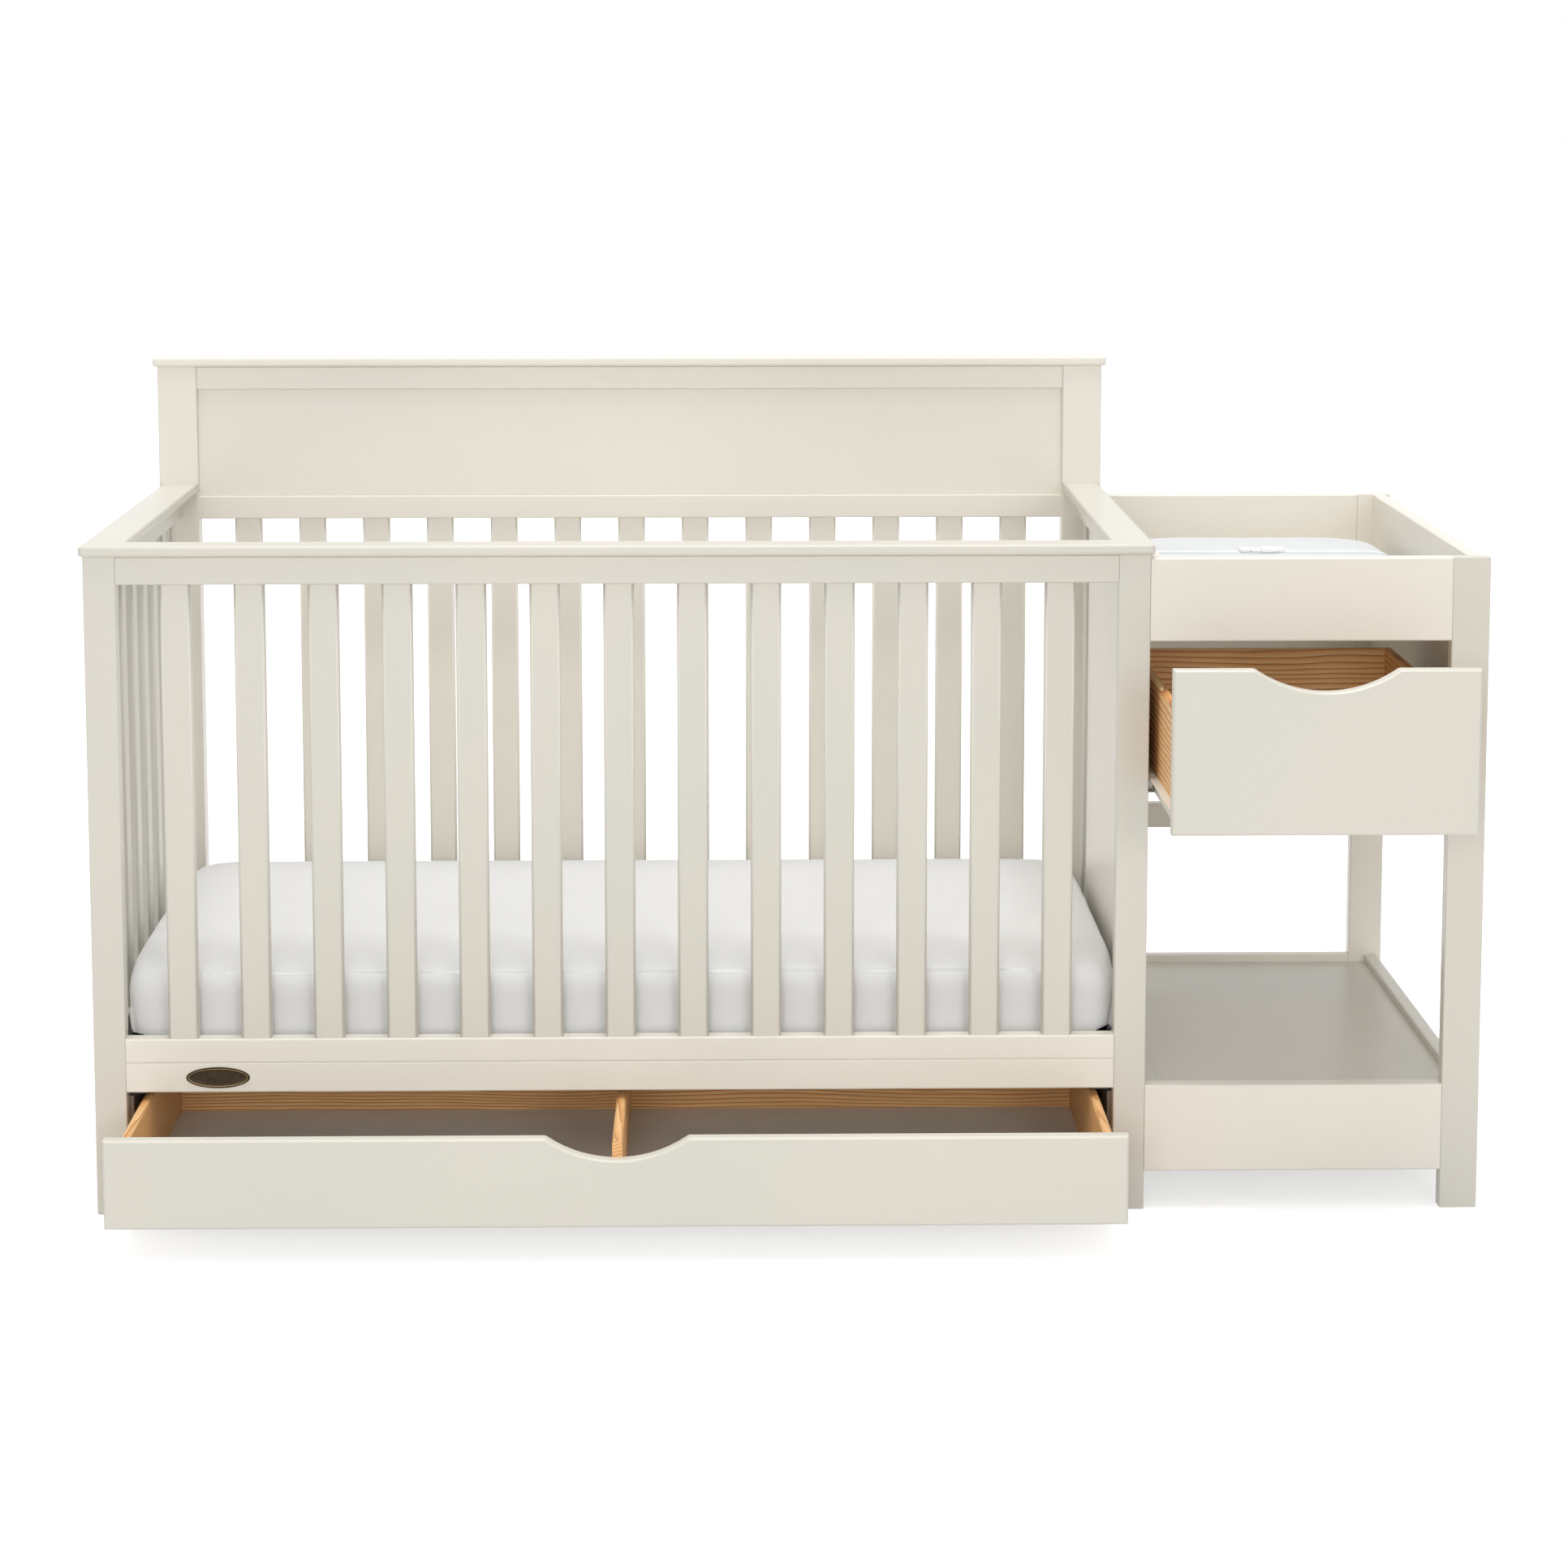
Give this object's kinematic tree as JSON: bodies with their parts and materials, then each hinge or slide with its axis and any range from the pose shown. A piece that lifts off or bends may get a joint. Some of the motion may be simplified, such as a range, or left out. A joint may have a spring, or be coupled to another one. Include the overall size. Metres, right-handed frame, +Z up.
{
  "type": "crib with attached changer",
  "caption": "White slatted baby crib with a panelled headboard, an under-bed drawer, and a joined changing table with a padded tray, a drawer and an open shelf.",
  "frame": {"origin": "on the floor, under the middle of the object's box with both drawers at rest", "axes": "+X along the length, towards the changing table; +Y from the drawer fronts to the headboard; +Z up"},
  "size_m": [1.8494, 1.004, 1.084],
  "materials": {
    "white_paint": "satin off-white paint on solid wood",
    "pine": "clear-lacquered pine",
    "drawer_floor": "taupe faced hardboard",
    "raw_board": "dark primed board",
    "slide_enamel": "white epoxy on pressed steel",
    "roller_nylon": "white nylon",
    "fitted_sheet": "white woven cotton",
    "pad_cover": "white wipe-clean cloth",
    "spring_steel": "dark grey enamel",
    "black_steel": "black enamel",
    "zinc_steel": "zinc plated"
  },
  "bodies": {
    "frame": {"back_bottom_rail": "white_paint", "back_slats": "white_paint", "cabinet_slides": "slide_enamel", "changer_back_panel": "white_paint", "changer_back_post": "white_paint", "changer_back_rail": "white_paint", "changer_back_stretchers": "white_paint", "changer_front_leg": "white_paint", "changer_front_rail": "white_paint", "changer_left_rail": "white_paint", "changer_runner_rail": "raw_board", "changer_side_panel": "white_paint", "changer_tray_floor": "white_paint", "end_slats": "white_paint", "frame_bolts": "zinc_steel", "front_apron": "white_paint", "front_bottom_rail": "white_paint", "front_cap": "white_paint", "front_leg_left": "white_paint", "front_leg_right": "white_paint", "front_slats": "white_paint", "front_top_rail": "white_paint", "headboard_cap": "white_paint", "headboard_lower_rail": "white_paint", "headboard_panel": "white_paint", "headboard_post_left": "white_paint", "headboard_post_right": "white_paint", "headboard_top_rail": "white_paint", "left_end_bottom_rail": "white_paint", "left_end_cap": "white_paint", "left_end_top_rail": "white_paint", "low_end_boards": "raw_board", "right_end_board": "white_paint", "right_end_bottom_rail": "white_paint", "right_end_cap": "white_paint", "right_end_top_rail": "white_paint", "shelf_apron": "white_paint", "shelf_panel": "white_paint", "shelf_rails": "white_paint", "spring_deck": "spring_steel", "support_bars": "spring_steel", "support_hangers": "black_steel"},
    "changer_drawer": {"changer_drawer_back": "pine", "changer_drawer_bottom": "drawer_floor", "changer_drawer_front": "white_paint", "changer_drawer_sides": "pine", "changer_drawer_slides": "slide_enamel"},
    "changer_drawer_rollers": {"changer_drawer_rollers": "roller_nylon"},
    "changer_drawer_wall_rollers": {"changer_drawer_wall_rollers": "roller_nylon"},
    "changing_pad": {"changing_pad": "pad_cover"},
    "crib_drawer": {"crib_drawer_back": "pine", "crib_drawer_bottom": "drawer_floor", "crib_drawer_divider": "pine", "crib_drawer_front": "white_paint", "crib_drawer_sides": "pine", "crib_drawer_slides": "slide_enamel"},
    "crib_drawer_rollers": {"crib_drawer_rollers": "roller_nylon"},
    "crib_drawer_wall_rollers": {"crib_drawer_wall_rollers": "roller_nylon"},
    "mattress": {"mattress": "fitted_sheet"}
  },
  "joints": [
    {"name": "crib_drawer_slide", "type": "slide", "parent": "frame", "child": "crib_drawer", "axis": [0, -1, 0], "range_m": [-0.216, 0.17]},
    {"name": "changer_drawer_slide", "type": "slide", "parent": "frame", "child": "changer_drawer", "axis": [0, -1, 0], "range_m": [-0.221, 0.2]},
    {"name": "mattress_lift", "type": "slide", "parent": "frame", "child": "mattress", "axis": [0, 0, 1], "range_m": [0, 0.5]},
    {"name": "changing_pad_lift", "type": "slide", "parent": "frame", "child": "changing_pad", "axis": [0, 0, 1], "range_m": [0, 0.25]},
    {"name": "crib_drawer_roller_spin", "type": "hinge", "parent": "crib_drawer", "child": "crib_drawer_rollers", "pos_m": [-0.2152, 0.004, 0.061], "axis": [1, 0, 0], "continuous": true},
    {"name": "crib_drawer_wall_roller_spin", "type": "hinge", "parent": "frame", "child": "crib_drawer_wall_rollers", "pos_m": [-0.2152, -0.24, 0.061], "axis": [1, 0, 0], "continuous": true},
    {"name": "changer_drawer_roller_spin", "type": "hinge", "parent": "changer_drawer", "child": "changer_drawer_rollers", "pos_m": [0.67755, 0.059, 0.5707], "axis": [1, 0, 0], "continuous": true},
    {"name": "changer_drawer_wall_roller_spin", "type": "hinge", "parent": "frame", "child": "changer_drawer_wall_rollers", "pos_m": [0.67755, -0.24, 0.5707], "axis": [1, 0, 0], "continuous": true}
  ],
  "couplings": [
    {"joint": "crib_drawer_roller_spin", "follows": "crib_drawer_slide", "rad_per_m": 100},
    {"joint": "crib_drawer_wall_roller_spin", "follows": "crib_drawer_slide", "rad_per_m": 100},
    {"joint": "changer_drawer_roller_spin", "follows": "changer_drawer_slide", "rad_per_m": 100},
    {"joint": "changer_drawer_wall_roller_spin", "follows": "changer_drawer_slide", "rad_per_m": 100}
  ]
}
